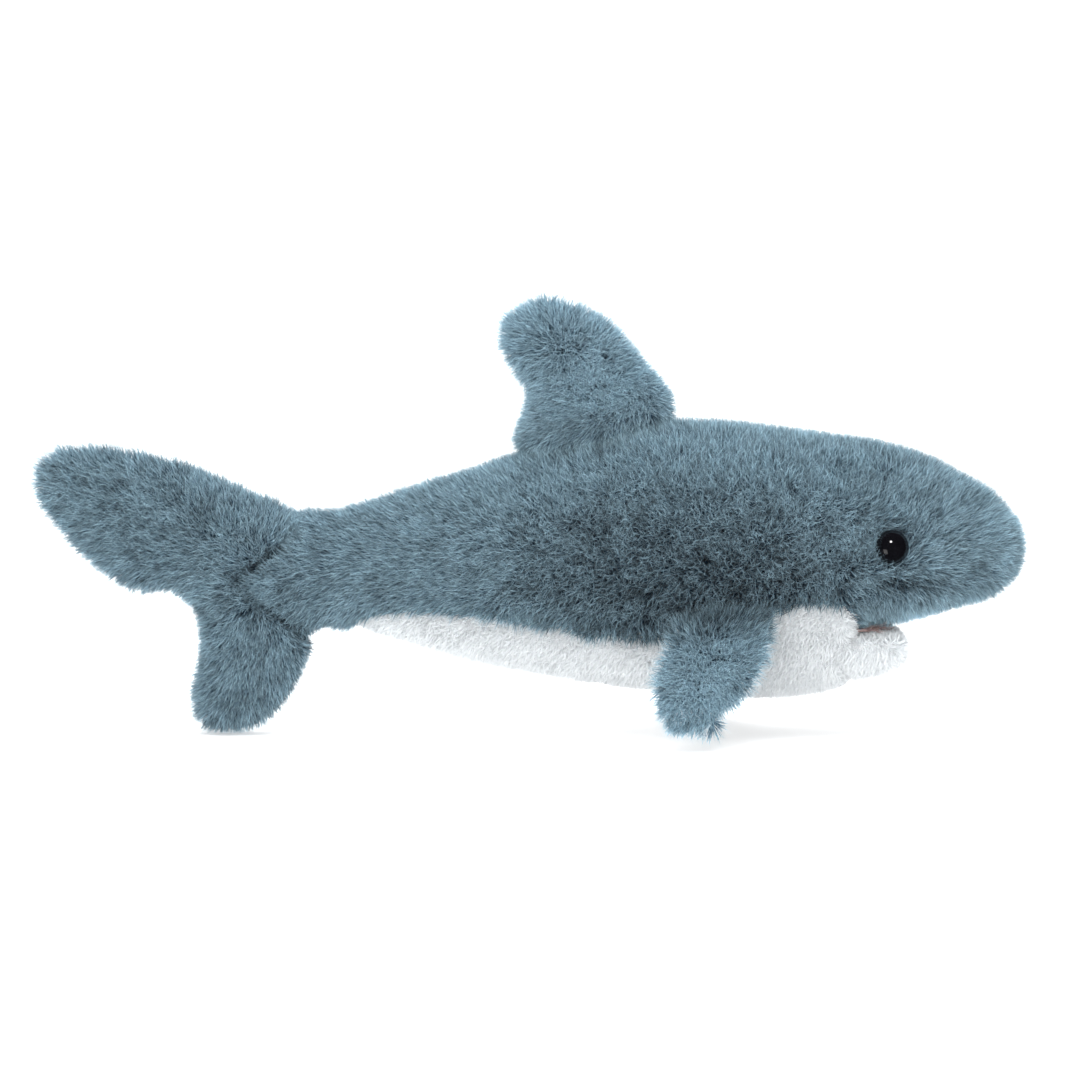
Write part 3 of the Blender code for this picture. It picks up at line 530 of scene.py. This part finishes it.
def pile_tree():
    """Plants strands on a cloth: upright, combed along the cloth's own direction, in loose tufts."""
    tree, given, result = new_group(
        "pile", "GeometryNodeTree",
        [("Cloth", "NodeSocketGeometry", None),
         ("Strand", "NodeSocketObject", None),
         ("Fibre", "NodeSocketMaterial", None),
         ("Density", "NodeSocketFloat", 6.0e6),
         ("Length", "NodeSocketFloat", PILE_LENGTH),
         ("Width", "NodeSocketFloat", STRAND_WIDTH),
         ("Ruffle", "NodeSocketFloat", 0.35),
         ("Tuft", "NodeSocketFloat", 0.5),
         ("Tuft Size", "NodeSocketFloat", 4.0 * MM),
         ("Seed", "NodeSocketInt", 1)],
        [("Pile", "NodeSocketGeometry", None)])
    tree.is_modifier = True

    def random_value(kind, low, high, offset):
        seed = add_node(tree, "ShaderNodeMath", {"operation": "ADD"}, _0=given.outputs["Seed"],
                        _1=float(offset))
        node = add_node(tree, "FunctionNodeRandomValue", {"data_type": kind}, Seed=seed.outputs[0])
        base = 0 if kind == "FLOAT_VECTOR" else 2
        node.inputs[base].default_value = low
        node.inputs[base + 1].default_value = high
        return node.outputs[0 if kind == "FLOAT_VECTOR" else 1]

    def named(name, kind):
        return add_node(tree, "GeometryNodeInputNamedAttribute", {"data_type": kind},
                        Name=name).outputs["Attribute"]

    def vector(operation, first, second=None, scale=None):
        node = add_node(tree, "ShaderNodeVectorMath", {"operation": operation}, _0=first)
        for socket, value in ((1, second), (3, scale)):
            if isinstance(value, bpy.types.NodeSocket):
                tree.links.new(value, node.inputs[socket])
            elif value is not None:
                node.inputs[socket].default_value = value
        return node.outputs[0]

    def number(operation, first, second):
        return add_node(tree, "ShaderNodeMath", {"operation": operation}, _0=first,
                        _1=second).outputs[0]

    density = number("MULTIPLY", given.outputs["Density"], named("growth", "FLOAT"))
    planted = add_node(tree, "GeometryNodeDistributePointsOnFaces", {}, Mesh=given.outputs["Cloth"],
                       Density=density, Seed=given.outputs["Seed"])
    place = add_node(tree, "GeometryNodeInputPosition").outputs[0]
    scale = number("DIVIDE", 1.0, given.outputs["Tuft Size"])
    tufts = add_node(tree, "ShaderNodeTexNoise", {}, Vector=place, Scale=scale, Detail=2.0)
    tuft_lean = vector("SCALE", vector("SUBTRACT", tufts.outputs["Color"], (0.5, 0.5, 0.5)),
                       scale=number("MULTIPLY", given.outputs["Tuft"], 4.0))
    ruffle = vector("SCALE", random_value("FLOAT_VECTOR", (-1, -1, -1), (1, 1, 1), 11),
                    scale=given.outputs["Ruffle"])
    lean = vector("ADD", vector("ADD", named("comb", "FLOAT_VECTOR"), tuft_lean), ruffle)
    way = vector("NORMALIZE", vector("ADD", planted.outputs["Normal"], lean))
    upright = add_node(tree, "FunctionNodeAlignRotationToVector", {"axis": "Z"}, Vector=way)
    spin = add_node(tree, "FunctionNodeAxisAngleToRotation", {}, Axis=(0, 0, 1),
                    Angle=random_value("FLOAT", 0.0, 2 * math.pi, 23))
    turned = add_node(tree, "FunctionNodeRotateRotation", {"rotation_space": "LOCAL"},
                      Rotation=upright.outputs[0], **{"Rotate By": spin.outputs[0]})
    reach = number("MULTIPLY", number("MULTIPLY", given.outputs["Length"], named("pile", "FLOAT")),
                   random_value("FLOAT", 0.65, 1.15, 37))
    size = add_node(tree, "ShaderNodeCombineXYZ", {}, X=given.outputs["Width"], Y=reach, Z=reach)
    # The tone is random for each strand, plus the painted light and shade that the cloth carries.
    toned = add_node(tree, "GeometryNodeStoreNamedAttribute", {"data_type": "FLOAT"},
                     Geometry=planted.outputs["Points"], Name="tone",
                     Value=number("ADD", random_value("FLOAT", 0.0, 1.0, 53),
                                  named("paler", "FLOAT")))
    strand = add_node(tree, "GeometryNodeObjectInfo", {}, Object=given.outputs["Strand"])
    standing = add_node(tree, "GeometryNodeInstanceOnPoints", {}, Points=toned.outputs[0],
                        Instance=strand.outputs["Geometry"], Rotation=turned.outputs[0],
                        Scale=size.outputs[0])
    real = add_node(tree, "GeometryNodeRealizeInstances", {}, Geometry=standing.outputs[0])
    dyed = add_node(tree, "GeometryNodeSetMaterial", {}, Geometry=real.outputs[0],
                    Material=given.outputs["Fibre"])
    tree.links.new(dyed.outputs[0], result.inputs["Pile"])
    return tree


STRAND = strand_object()
PILE_TREE = pile_tree()
SOCKETS = {item.name: item.identifier for item in PILE_TREE.interface.items_tree
           if item.in_out == "INPUT"}


def planted_pile(name, cloth, values):
    """The pile of one panel, as a plain mesh."""
    grower = cloth.copy()
    bpy.context.scene.collection.objects.link(grower)
    grower.modifiers.clear()
    modifier = grower.modifiers.new("pile", "NODES")
    modifier.node_group = PILE_TREE
    for key, value in {"Strand": STRAND, **values}.items():
        modifier[SOCKETS[key]] = value
    grower.update_tag()
    graph = bpy.context.evaluated_depsgraph_get()
    mesh = bpy.data.meshes.new_from_object(grower.evaluated_get(graph), depsgraph=graph)
    bpy.data.objects.remove(grower)
    points = points_of(mesh)
    points[:, 2] = np.maximum(points[:, 2], FLOOR_GAP)
    place_points(mesh, points)
    return new_object(name, mesh)


def swirls(points, size):
    """A gentle wandering of the pile, as after stroking."""
    return np.array([noise.noise_vector(Vector(point) / size) for point in points])


def comb_cloth(cloth, direction, parting):
    """Writes on the cloth how its pile lies: lean, length and growth at each point, and the painted
    light and shade added to its colour there. A parting turns the pile away from the seams and
    shortens it there."""
    mesh = cloth.data
    points, normals = points_of(mesh), normals_of(mesh)
    lean = direction(points)
    lean += 0.45 * swirls(points, 0.014) * (1 + 0.8 * head_share(points))[:, None]
    lean += 0.5 * swirls(points, 0.005) * nose_share(points)[:, None]
    lean = lean - normals * np.sum(lean * normals, axis=1, keepdims=True)
    strength = parting(points) * read_attribute(mesh, "seam") ** 4
    away = read_attribute(mesh, "away", 3)
    away -= normals * np.sum(away * normals, axis=1, keepdims=True)
    away /= np.maximum(np.linalg.norm(away, axis=1, keepdims=True), 1e-6)
    lean = lean * (1 - 0.7 * strength[:, None]) + 1.1 * strength[:, None] * away
    # Painted shade: where the pile is parted its colour is darkened, for the shade in the seam.
    parted = np.maximum(strength, 0)
    pile = (1 - 0.5 * parted) * (1 + 0.25 * fin_tips(points))
    # Painted shade: the middle of the flank is painted darker below, besides growing sparser.
    flank = flank_share(points)
    growth = (1 - 0.45 * flank) * (1 + 0.3 * fin_tips(points))
    paler = painted_light_and_head_tone(points) - 0.5 * flank - 0.8 * parted
    for eye in ("right_eye", "left_eye"):
        off = points - np.array(middle(eye))
        far = np.linalg.norm(off[:, [0, 2]], axis=1)
        near = points[:, 1] * middle(eye).y > 0
        growth[near & (far < EYE_CLEARING)] = 0.0
        ring = near & (far < 2.2 * EYE_CLEARING)
        amount = 1 - eased((far[ring] - EYE_CLEARING) / (1.2 * EYE_CLEARING))
        outward = off[ring] * np.array([1, 0, 1]) / np.maximum(far[ring, None], 1e-6)
        lean[ring] += outward * (0.1 * amount)[:, None]
        pile[ring] *= 1 - 0.35 * amount
    for label, kind, values in (("comb", "FLOAT_VECTOR", lean), ("growth", "FLOAT", growth),
                                ("pile", "FLOAT", pile), ("paler", "FLOAT", paler)):
        write_attribute(mesh, label, kind, values)


# Parts of the shark, each 1 inside the part and falling smoothly to 0 outside it

def axes(points):
    """How far along, to the side and up each point is."""
    return points[:, 0], np.abs(points[:, 1]), points[:, 2]


def nose_share(points):
    return eased((points[:, 0] - NOSE_X) / 0.015)


def head_share(points):
    return eased((points[:, 0] - 0.095) / 0.020)


def flank_share(points):
    """The middle of the flank, where the pile stands straight out and grows sparser, and where its colour is
    painted darker: painted shade for its dark roots showing.
    """
    x, side, z = axes(points)
    off = np.hypot((x - 0.057) / 0.070, (z - 0.056) / 0.037)
    return (1 - eased((off - 0.15) / 1.1)) * eased((side - 0.015) / 0.010)


def tail_share(points):
    """The V seam, fading before it reaches the back."""
    return eased((-0.062 - points[:, 0]) / 0.010) * eased((0.074 - points[:, 2]) / 0.010)


def crease_share(points):
    """The crease under the eye, fading before the nose."""
    x, side, z = axes(points)
    along = eased((x - THROAT_X) / 0.014) * eased((0.154 - x) / 0.022)
    return along * (side > 0.012) * (z > CREASE_Z)


def fin_tips(points):
    """The tips of the fins, of the tail and of the nose, where the pile is left longer."""
    x, side, z = axes(points)
    tail = eased((-0.120 - x) / 0.035)
    lobe = 0.8 * eased((0.030 - z) / 0.020) * (x < -0.05)
    dorsal = 0.6 * eased((z - 0.130) / 0.015)
    pectoral = 0.6 * eased((side - 0.044) / 0.008) * (z < 0.045) * (x > 0)
    return np.max([0.9 * nose_share(points), tail, lobe, dorsal, pectoral], axis=0)


def painted_light_and_head_tone(points):
    """Painted light: the dorsal fin on top, the pectoral fins and the lip are painted lighter than the rest,
    as where light falls on them. The head is made a little darker.
    """
    x, side, z = axes(points)
    dorsal = eased((z - 0.110) / 0.015)
    pectoral = eased((side - 0.040) / 0.008) * (z < 0.045) * (x > 0)
    lip = eased((x - 0.122) / 0.010) * eased((0.052 - z) / 0.006)
    return 0.3 * dorsal + 0.45 * pectoral + 0.7 * lip - 0.06 * head_share(points)


# How the pile is combed on each part

def fanned(points, centre, reach=1e-9):
    """Away from the centre, in the plane of the side, gently near it and fully beyond the reach."""
    fan = points - np.array(centre)
    fan[:, 1] = 0
    return fan / (reach + np.linalg.norm(fan, axis=1, keepdims=True))


def comb_body(points):
    """Upright on the flanks, combed back towards the tail behind the dorsal fin, and fanned
    out from the cheek over the snout."""
    x = points[:, 0]
    back = np.zeros_like(points)
    back[:, 0] = -0.12 - 0.75 * eased((0.03 - x) / 0.08)
    share = eased((x - 0.112) / 0.02)[:, None]
    return back * (1 - share) + 0.6 * fanned(points, CHEEK) * share


def comb_tail(points):
    """Fanned out from the point of the V seam."""
    apex = joint_place("tail_fin_swing") + Vector((-0.025, 0, 0))
    share = eased((-0.072 - points[:, 0]) / 0.02)[:, None]
    back = np.array([[-0.85, 0, 0]])
    return back * (1 - share) + 0.75 * fanned(points, apex) * share


def comb_dorsal(points):
    """Fanned out from the middle of the fin, and down over the back at its foot."""
    root = joint_place("dorsal_fin_lean")
    fan = fanned(points, root + Vector((-0.010, 0, 0.018)), 0.008)
    foot = 1 - eased((points[:, 2] - root.z + 0.001) / 0.014)[:, None]
    return 0.9 * fan * (1 - foot) + foot * np.array([[-0.5, 0, -0.6]])


def comb_pectoral(points):
    """Fanned out from the head of the fin, and down towards its tip."""
    root = joint_place("right_pectoral_flap")
    return fanned(points, root + Vector((-0.003, 0, -0.006)), 0.016) + np.array([[0, 0, -0.35]])


def comb_belly(points):
    """Back towards the tail."""
    return np.tile([-0.5, 0.0, -0.1], (len(points), 1))


def comb_fringe(points):
    """Straight down, so that the pale pile of a fin's underside shows along its front edge."""
    return np.tile([0.15, 0.0, -0.8], (len(points), 1))


# How far the pile is parted at its seams; a parting above 0 is also painted darker, as painted shade in the
# seam. Below 0 it leans over the seam and hides it.

def nowhere(points):
    return np.zeros(len(points))


def part_side(points):
    """Hidden seams, but for the V seam at the tail and the crease under the eye."""
    return -0.3 + np.maximum(1.15 * tail_share(points), 0.7 * crease_share(points))


def part_muzzle(points):
    """Parted along the crease under the eye, and combed over the lip."""
    lip = 1.1 * eased((LIP_X - points[:, 0]) / 0.004) - 0.3
    return np.where(points[:, 2] > CREASE_Z, crease_share(points) - 0.2, lip)


def part_tail(points):
    """Parted along the V seam."""
    return eased((points[:, 0] + 0.112) / 0.008) * tail_share(points)


def part_belly(points):
    """The belly's pile leans over the corner of the muzzle."""
    return -0.8 * eased((points[:, 0] - 0.100) / 0.008)


def muzzle_corner(points):
    """How far the muzzle gives way to the belly: its lower rear corner is cut off slantwise."""
    x, z = points[:, 0], points[:, 2]
    return 0.008 * eased((LIP_X - 2 * (z - MOUTH_Z) - x) / 0.003) * (z < CREASE_Z)


# ---------------------------------------------------------------- the stuffed parts

BLUE = {"Fibre": BLUE_PILE, "Density": 8.5e6, "Length": PILE_LENGTH, "Width": STRAND_WIDTH,
        "Ruffle": 0.34, "Tuft": 0.34, "Tuft Size": 2.2 * MM}
WHITE = {"Fibre": WHITE_PILE, "Density": 7.8e6, "Length": 0.5 * PILE_LENGTH,
         "Width": 0.9 * STRAND_WIDTH, "Ruffle": 0.55, "Tuft": 0.25, "Tuft Size": 8.0 * MM}
FINE = {"Density": 1.2e7, "Width": 0.82 * STRAND_WIDTH, "Ruffle": 0.28, "Tuft": 0.3}


def cloth(name, colour, *panels, comb=None, parting=nowhere, yields=nowhere, bands=(), **pile):
    """What one cloth of a stuffed part is: its CAD panels, its colour, how its pile is combed and
    parted, how far it gives way to its neighbours, the X places where its pile is divided into
    pieces, and how its pile differs from the plain blue or white one."""
    return {"name": name, "colour": colour, "panels": panels, "comb": comb, "parting": parting,
            "yields": yields, "bands": bands,
            "pile": {**(WHITE if colour == "white" else BLUE), **pile}}


def dress(surface, cloths, bend, seed):
    """Cuts the cloths of a stuffed part, plants their pile, and hangs both on the two bodies."""
    bodies, start, end = bend
    for number, kind in enumerate(cloths):
        white = kind["colour"] == "white"
        backing = cut_cloth(kind["name"] + "_cloth", surface, number,
                            WHITE_BACKING if white else BLUE_BACKING)
        if not backing.data.polygons:
            bpy.data.objects.remove(backing)
            continue
        comb_cloth(backing, kind["comb"], kind["parting"])
        edges = [-1.0, *kind["bands"], 1.0]
        pieces = [backing]
        for band, (low, high) in enumerate(zip(edges, edges[1:])):
            strip = backing.copy()
            strip.data = backing.data.copy()
            cut_at(strip.data, Vector((low, 0, 0)), Vector((-1, 0, 0)), close=False)
            cut_at(strip.data, Vector((high, 0, 0)), Vector((1, 0, 0)), close=False)
            label = kind["name"] + "_pile" + ("" if len(edges) == 2 else "_" + str(band + 1))
            pieces.append(planted_pile(label, strip, {**kind["pile"],
                                                      "Seed": seed + 10 * number + band}))
            bpy.data.objects.remove(strip)
        for piece in pieces:
            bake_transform(piece, *bodies, start=start, end=end)
        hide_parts(*kind["panels"])


def hang_filling(name, surface, bend, nodes, parting_plane=None):
    """The padded filling of a stuffed part, hung as its cloths are."""
    bodies, start, end = bend
    filling = filling_of(name, surface)
    if parting_plane is not None:
        cut_at(filling.data, *parting_plane, close=True)
    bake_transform(filling, *bodies, start=start, end=end)
    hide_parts(*nodes)


def fill_out(points):
    """Lets the belly hang a little, plumps the tail, and rounds the tail's wrist."""
    points = points.copy()
    x, z = points[:, 0].copy(), points[:, 2].copy()
    belly = eased((x + 0.080) / 0.025) * eased((0.138 - x) / 0.025)
    wrist = np.exp(-((x - WRIST_X) / 0.012) ** 2)
    fin = eased((-0.100 - x) / 0.020)
    points[:, 0] += 0.04 * (x + 0.125) * fin
    points[:, 2] += 0.07 * (z - 0.070) * fin
    points[:, 2] += 2.0 * MM * eased((0.024 - z) / 0.020) * (x < -0.05)
    points[:, 2] += 3.5 * MM * wrist * eased((z - 0.064) / 0.012)
    points[:, 2] -= 2.0 * MM * wrist * eased((0.046 - z) / 0.010) * (1 - belly)
    points[:, 2] -= 3.8 * MM * belly * eased((0.050 - z) / 0.020)
    return points


def build_body():
    """Body, tail stem and tail fin, stuffed as one: a front piece that bends at the stem, and the
    tail that bends at its wrist."""
    cloths = [
        cloth("right_side", "blue", "right_side_panel", "tail_stem_right_panel", comb=comb_body,
              parting=part_side, bands=(0.010, 0.085)),
        cloth("left_side", "blue", "left_side_panel", "tail_stem_left_panel", comb=comb_body,
              parting=part_side, bands=(0.010, 0.085)),
        cloth("muzzle", "blue", "muzzle_panel", comb=comb_body, parting=part_muzzle,
              yields=muzzle_corner),
        cloth("belly", "white", "belly_panel", "tail_stem_belly_panel", comb=comb_belly,
              parting=part_belly, bands=(0.030,)),
        cloth("tail_fin_right", "blue", "tail_fin_right_panel", comb=comb_tail, parting=part_tail),
        cloth("tail_fin_left", "blue", "tail_fin_left_panel", comb=comb_tail, parting=part_tail)]
    surface = stuffed("body surface", ("body_stuffing", "tail_stem_stuffing", "tail_fin_stuffing"),
                      cloths, BODY_GRAIN, fill_out)
    stem = joint_place("tail_stem_bend")
    wrist = joint_place("tail_fin_swing")
    parting = wrist + Vector((0.010, 0, 0))
    stem_bend = (("body", "tail_stem"), stem + Vector((0.018, 0, 0)), stem - Vector((0.042, 0, 0)))
    wrist_bend = (("tail_stem", "tail_fin"), parting, wrist - Vector((0.034, 0, 0)))
    front = new_object("front surface", surface.data.copy())
    rear = new_object("rear surface", surface.data.copy())
    cut_at(front.data, parting, Vector((-1, 0, 0)), close=False)
    cut_at(rear.data, parting, Vector((1, 0, 0)), close=False)
    dress(front, cloths[:4], stem_bend, seed=100)
    rear_cloths = [dict(kind) for kind in cloths]
    for kind, name in zip(rear_cloths, ("wrist_right", "wrist_left", "", "wrist_belly")):
        kind.update(name=name, bands=(), panels=())
    dress(rear, rear_cloths, wrist_bend, seed=200)
    hang_filling("body_filling", surface, stem_bend, ("body_stuffing", "tail_stem_stuffing"),
                 (parting, Vector((-1, 0, 0))))
    hang_filling("tail_filling", surface, wrist_bend, ("tail_fin_stuffing",),
                 (parting, Vector((1, 0, 0))))
    for spare in (surface, front, rear):
        bpy.data.objects.remove(spare)


def stuffed_part(name, filling_node, cloths, reshape, bend, seed):
    """A separate stuffed part: a fin or the jaw."""
    surface = stuffed(name + " surface", (filling_node,), cloths, reshape=reshape)
    dress(surface, cloths, bend, seed)
    hang_filling(name + "_filling", surface, bend, (filling_node,))
    bpy.data.objects.remove(surface)


def build_dorsal():
    root = joint_place("dorsal_fin_lean")

    def sink(points):
        """Draws the foot of the fin down into the back, and flares it out over the back."""
        points = points.copy()
        foot = 1 - eased((points[:, 2] - BACK_Z) / 0.014)
        flare = 1 - eased((points[:, 2] - BACK_Z) / 0.022)
        along = points[:, 0] - root.x
        points[:, 0] = root.x + along * (1 + np.where(along < 0, 0.35, 0.3) * flare ** 3)
        points[:, 1] *= 1 + 2.0 * flare ** 1.5
        points[:, 2] = root.z + (points[:, 2] - root.z) * 0.97 - 0.011 * foot
        return points

    stuffed_part("dorsal", "dorsal_stuffing",
                 [cloth("dorsal_right", "blue", "dorsal_right_panel", comb=comb_dorsal, **FINE),
                  cloth("dorsal_left", "blue", "dorsal_left_panel", comb=comb_dorsal, **FINE)],
                 sink, (("body", "dorsal_fin"), root - Vector((0, 0, 0.008)),
                        root + Vector((0, 0, 0.008))), seed=300)


def build_pectoral(side, sign):
    root = joint_place(side + "_pectoral_flap")
    splay = math.radians(25)
    down = Vector((0, sign * math.sin(splay), -math.cos(splay)))

    def sink(points):
        """Draws the head of the fin in to the flank."""
        points = points.copy()
        below = (points - np.array(root)) @ np.array(down)
        amount = 1 - eased((below + 0.005) / 0.016)
        points[:, 0] += (points[:, 0] - root.x) * 0.12 - 0.004 * eased(below / 0.030)
        points -= 0.045 * np.maximum(below, 0)[:, None] * np.array(down)
        points[:, 1] -= sign * (0.009 * amount + 0.005 * amount ** 2)
        points[:, 2] += 0.006 * amount
        return points

    stuffed_part(side + "_pectoral", side + "_pectoral_stuffing",
                 [cloth(side + "_pectoral_top", "blue", side + "_pectoral_top", comb=comb_pectoral,
                        **FINE),
                  cloth(side + "_pectoral_underside", "white", side + "_pectoral_underside",
                        comb=comb_fringe, Length=0.8 * PILE_LENGTH, Ruffle=0.4)],
                 sink, (("body", side + "_pectoral_fin"), root - 0.007 * down,
                        root + 0.009 * down), seed=400 if sign < 0 else 500)


def build_jaw():
    hinge = joint_place("jaw_open")

    def sink(points):
        """Draws the back of the jaw into the throat, and its chin forward and down."""
        points = points.copy()
        ahead = points[:, 0] - hinge.x
        points[:, 0] += 0.12 * ahead - 0.008 * (1 - eased((ahead - 0.001) / 0.008))
        points[:, 2] -= 0.0012 * eased((hinge.z - points[:, 2]) / 0.012)
        return points

    stuffed_part("jaw", "lower_jaw_stuffing",
                 [cloth("jaw", "white", "lower_jaw_panel", comb=comb_belly)], sink,
                 (("body", "lower_jaw"), Vector((hinge.x - 0.004, 0, hinge.z)),
                  Vector((hinge.x + 0.005, 0, hinge.z))), seed=600)


# ---------------------------------------------------------------- eyes and mouth

def smooth_copy(name, node, material, shift=(0, 0, 0)):
    """A CAD solid with its triangles merged and its curves smoothed."""
    mesh = merged_copy(name, [node])
    place_points(mesh, points_of(mesh) + np.array(shift))
    piece = new_object(name, mesh, material)
    mesh.shade_smooth()
    mesh.set_sharp_from_angle(angle=math.radians(35))
    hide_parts(node)
    return piece


def build_eyes():
    """Glossy domes, each held by a washer that grips its shank inside the filling."""
    for side in ("right", "left"):
        dome = smooth_copy(side + "_eye_dome", side + "_eye", EYE_BLACK)
        inward = (middle(side + "_eye_washer") - middle(side + "_eye")).normalized()
        washer = smooth_copy(side + "_eye_washer_disc", side + "_eye_washer", NYLON,
                             shift=0.004 * inward)
        for piece, finish in ((dome, "black_plastic"), (washer, "nylon")):
            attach(piece, "body")


def build_mouth():
    """The felt linings, and the threads that have worked loose along their edge."""
    loose = {"Fibre": PINK_PILE, "Density": 0.4e6, "Length": 5.5 * MM, "Width": 0.5 * MM,
             "Ruffle": 1.0, "Tuft": 0.6, "Tuft Size": 2.0 * MM, "Seed": 700}
    for node, body in (("upper_mouth_lining", "body"), ("lower_mouth_lining", "lower_jaw")):
        lining = smooth_copy(node + "_felt", node, FELT, shift=(-0.008, 0, 0))
        edge = lining.copy()
        edge.data = lining.data.copy()
        points = points_of(edge.data)
        outward = points * np.array([0, 1, 0]) / np.abs(points[:, 1]).max()
        ahead = eased((points[:, 0] - points[:, 0].min() - 0.006) / 0.006)
        everywhere = np.ones(len(points))
        for label, kind, values in (("comb", "FLOAT_VECTOR", outward + np.array([1.5, 0, -0.2])),
                                    ("growth", "FLOAT", ahead), ("pile", "FLOAT", everywhere),
                                    ("paler", "FLOAT", 0 * everywhere)):
            write_attribute(edge.data, label, kind, values)
        threads = planted_pile(node + "_threads", edge, loose)
        bpy.data.objects.remove(edge)
        for piece in (lining, threads):
            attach(piece, body)


build_body()
build_dorsal()
build_pectoral("right", -1)
build_pectoral("left", 1)
build_jaw()
build_eyes()
build_mouth()


# ---------------------------------------------------------------- studio

def studio_material():
    """White paper that glows a little, as if lit from behind."""
    material, tree, shader = new_material("studio paper", (0.86, 0.86, 0.86), 0.8)
    place = add_node(tree, "ShaderNodeTexCoord").outputs["Object"]
    grain = add_node(tree, "ShaderNodeTexNoise", {}, Vector=place, Scale=40.0)
    colour = add_node(tree, "ShaderNodeMix", {"data_type": "RGBA"}, _0=grain.outputs["Fac"],
                      _6=(0.85, 0.85, 0.85, 1), _7=(0.88, 0.88, 0.88, 1))
    tree.links.new(colour.outputs[2], shader.inputs["Base Color"])
    shader.inputs["Emission Color"].default_value = (1, 1, 1, 1)
    shader.inputs["Emission Strength"].default_value = 0.45
    return material


def build_sweep():
    """Paper floor that curves up behind into a wall."""
    half, front, bend_at, radius, top = 3.0, -3.5, 1.4, 0.8, 3.0
    profile = [(front, 0.0)]
    for step in range(17):
        angle = math.pi / 2 * step / 16
        profile.append((bend_at + radius * math.sin(angle), radius * (1 - math.cos(angle))))
    profile.append((bend_at + radius, top))
    verts = [(x, y, z) for y, z in profile for x in (-half, half)]
    faces = [(2 * k, 2 * k + 1, 2 * k + 3, 2 * k + 2) for k in range(len(profile) - 1)]
    mesh = bpy.data.meshes.new("sweep")
    mesh.from_pydata(verts, [], faces)
    sweep = new_object("sweep", mesh, studio_material())
    mesh.shade_smooth()
    sweep.visible_glossy = False


def add_light(name, place, target, size, power, mirrored=False):
    """A square lamp. One that is mirrored shows in glossy things only, and lights nothing."""
    lamp = bpy.data.lights.new(name, "AREA")
    lamp.shape = "SQUARE"
    lamp.size = size
    lamp.energy = power
    light = bpy.data.objects.new(name, lamp)
    light.location = place
    light.visible_glossy = mirrored
    light.visible_diffuse = not mirrored
    light.rotation_euler = (Vector(target) - Vector(place)).to_track_quat("-Z", "Y").to_euler()
    bpy.context.scene.collection.objects.link(light)


def build_studio():
    build_sweep()
    world = bpy.data.worlds.new("studio")
    world.use_nodes = True
    world.node_tree.nodes["Background"].inputs["Color"].default_value = (1, 1, 1, 1)
    world.node_tree.nodes["Background"].inputs["Strength"].default_value = 0.4
    world.cycles_visibility.glossy = False
    bpy.context.scene.world = world
    low, high = (Vector(corner) for corner in CAD_BOX)
    centre = (low + high) / 2
    add_light("top softbox", (0.1, -0.15, 1.5), centre, 1.8, 52)
    add_light("front fill", (-0.4, -1.8, 0.5), centre, 1.2, 26)
    add_light("catch light", (0.25, -1.2, 1.0), middle("right_eye"), 0.25, 8, mirrored=True)
    add_light("low reflector", (-0.5, -1.1, -0.35), middle("right_eye"), 0.6, 2.2, mirrored=True)
    aim = Vector((centre.x + 0.0032, centre.y, 0.0689))
    elevation, distance, view_width = math.radians(4.2), 2.2, 0.3818
    camera = bpy.data.objects.new("camera", bpy.data.cameras.new("camera"))
    camera.data.sensor_width = 36
    camera.data.lens = 36 * distance / view_width
    camera.location = aim + distance * Vector((0, -math.cos(elevation), math.sin(elevation)))
    camera.rotation_euler = (aim - camera.location).to_track_quat("-Z", "Y").to_euler()
    bpy.context.scene.collection.objects.link(camera)
    bpy.context.scene.camera = camera
    bpy.context.scene.view_settings.view_transform = "Standard"


build_studio()
